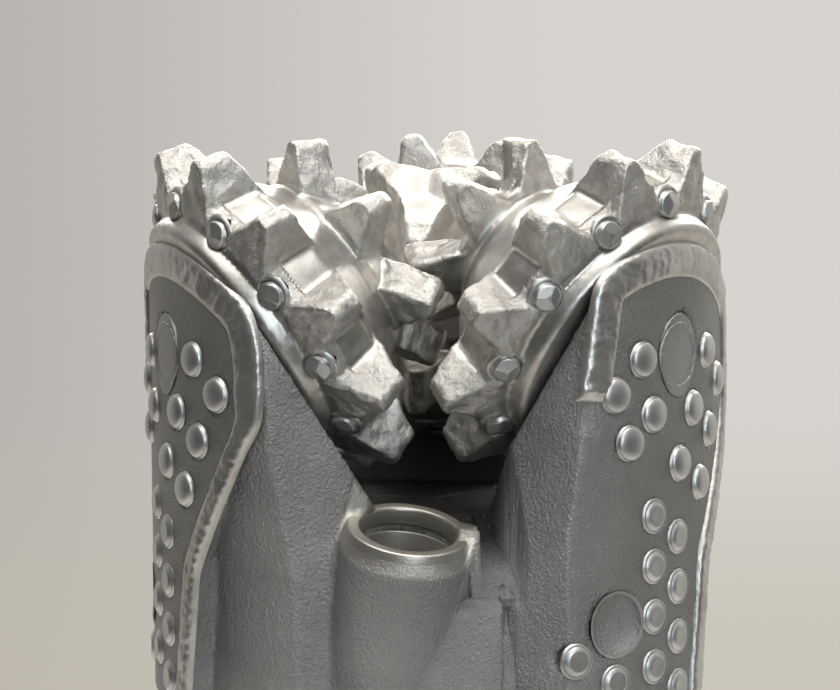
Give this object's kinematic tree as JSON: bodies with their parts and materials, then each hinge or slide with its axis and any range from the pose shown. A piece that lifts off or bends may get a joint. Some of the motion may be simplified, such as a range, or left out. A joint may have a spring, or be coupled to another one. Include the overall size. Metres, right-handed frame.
{
  "type": "tricone drill bit",
  "caption": "Three toothed steel cones on journals carried by a welded three-leg body with nozzle ports and a tapered threaded pin.",
  "frame": {"origin": "centre of the pin end face, where the fluid bore opens", "axes": "+Z along the bit axis toward the cutters; -Y is the side of the first nozzle port"},
  "size_m": [0.2149, 0.2089, 0.3562],
  "materials": {
    "forging": "satin silver-grey paint on cast and forged steel",
    "cone": "bright silver paint over machined steel and rough hardfacing",
    "hardfacing": "rough weld-deposited carbide, painted",
    "carbide": "smooth pressed carbide",
    "bearing_steel": "polished",
    "bearing_bronze": "machined bronze",
    "spring_steel": "plain",
    "seal_rubber": "matte black"
  },
  "bodies": {
    "bit_body": {"leg_1": "forging", "ball_plug_1": "bearing_steel", "plug_weld_1": "forging", "weld_seam_1": "forging", "hardfacing_1": "hardfacing", "dome_inserts_1": "carbide", "flat_inserts_1": "carbide", "seal_1": "seal_rubber", "reservoir_cap_1": "forging", "snap_ring_1": "spring_steel", "diaphragm_1": "seal_rubber", "leg_2": "forging", "ball_plug_2": "bearing_steel", "plug_weld_2": "forging", "weld_seam_2": "forging", "hardfacing_2": "hardfacing", "dome_inserts_2": "carbide", "flat_inserts_2": "carbide", "seal_2": "seal_rubber", "reservoir_cap_2": "forging", "snap_ring_2": "spring_steel", "diaphragm_2": "seal_rubber", "leg_3": "forging", "ball_plug_3": "bearing_steel", "plug_weld_3": "forging", "weld_seam_3": "forging", "hardfacing_3": "hardfacing", "dome_inserts_3": "carbide", "flat_inserts_3": "carbide", "seal_3": "seal_rubber", "reservoir_cap_3": "forging", "snap_ring_3": "spring_steel", "diaphragm_3": "seal_rubber"},
    "cone_1_body": {"cone_1": "cone", "trimmers_1": "carbide", "main_bushing_1": "bearing_bronze", "pilot_bushing_1": "bearing_bronze", "thrust_washer_1": "bearing_bronze", "balls_1": "bearing_steel"},
    "cone_2_body": {"cone_2": "cone", "trimmers_2": "carbide", "main_bushing_2": "bearing_bronze", "pilot_bushing_2": "bearing_bronze", "thrust_washer_2": "bearing_bronze", "balls_2": "bearing_steel"},
    "cone_3_body": {"cone_3": "cone", "trimmers_3": "carbide", "main_bushing_3": "bearing_bronze", "pilot_bushing_3": "bearing_bronze", "thrust_washer_3": "bearing_bronze", "balls_3": "bearing_steel"}
  },
  "joints": [
    {"name": "cone_1_spin", "type": "hinge", "parent": "bit_body", "child": "cone_1_body", "pos_m": [0.002, -0.00346, 0.336], "axis": [-0.7263, -0.4193, -0.5446], "continuous": true},
    {"name": "cone_2_spin", "type": "hinge", "parent": "bit_body", "child": "cone_2_body", "pos_m": [0.002, 0.00346, 0.336], "axis": [0.7263, -0.4193, -0.5446], "continuous": true},
    {"name": "cone_3_spin", "type": "hinge", "parent": "bit_body", "child": "cone_3_body", "pos_m": [-0.004, 0, 0.336], "axis": [0, 0.8387, -0.5446], "continuous": true}
  ]
}
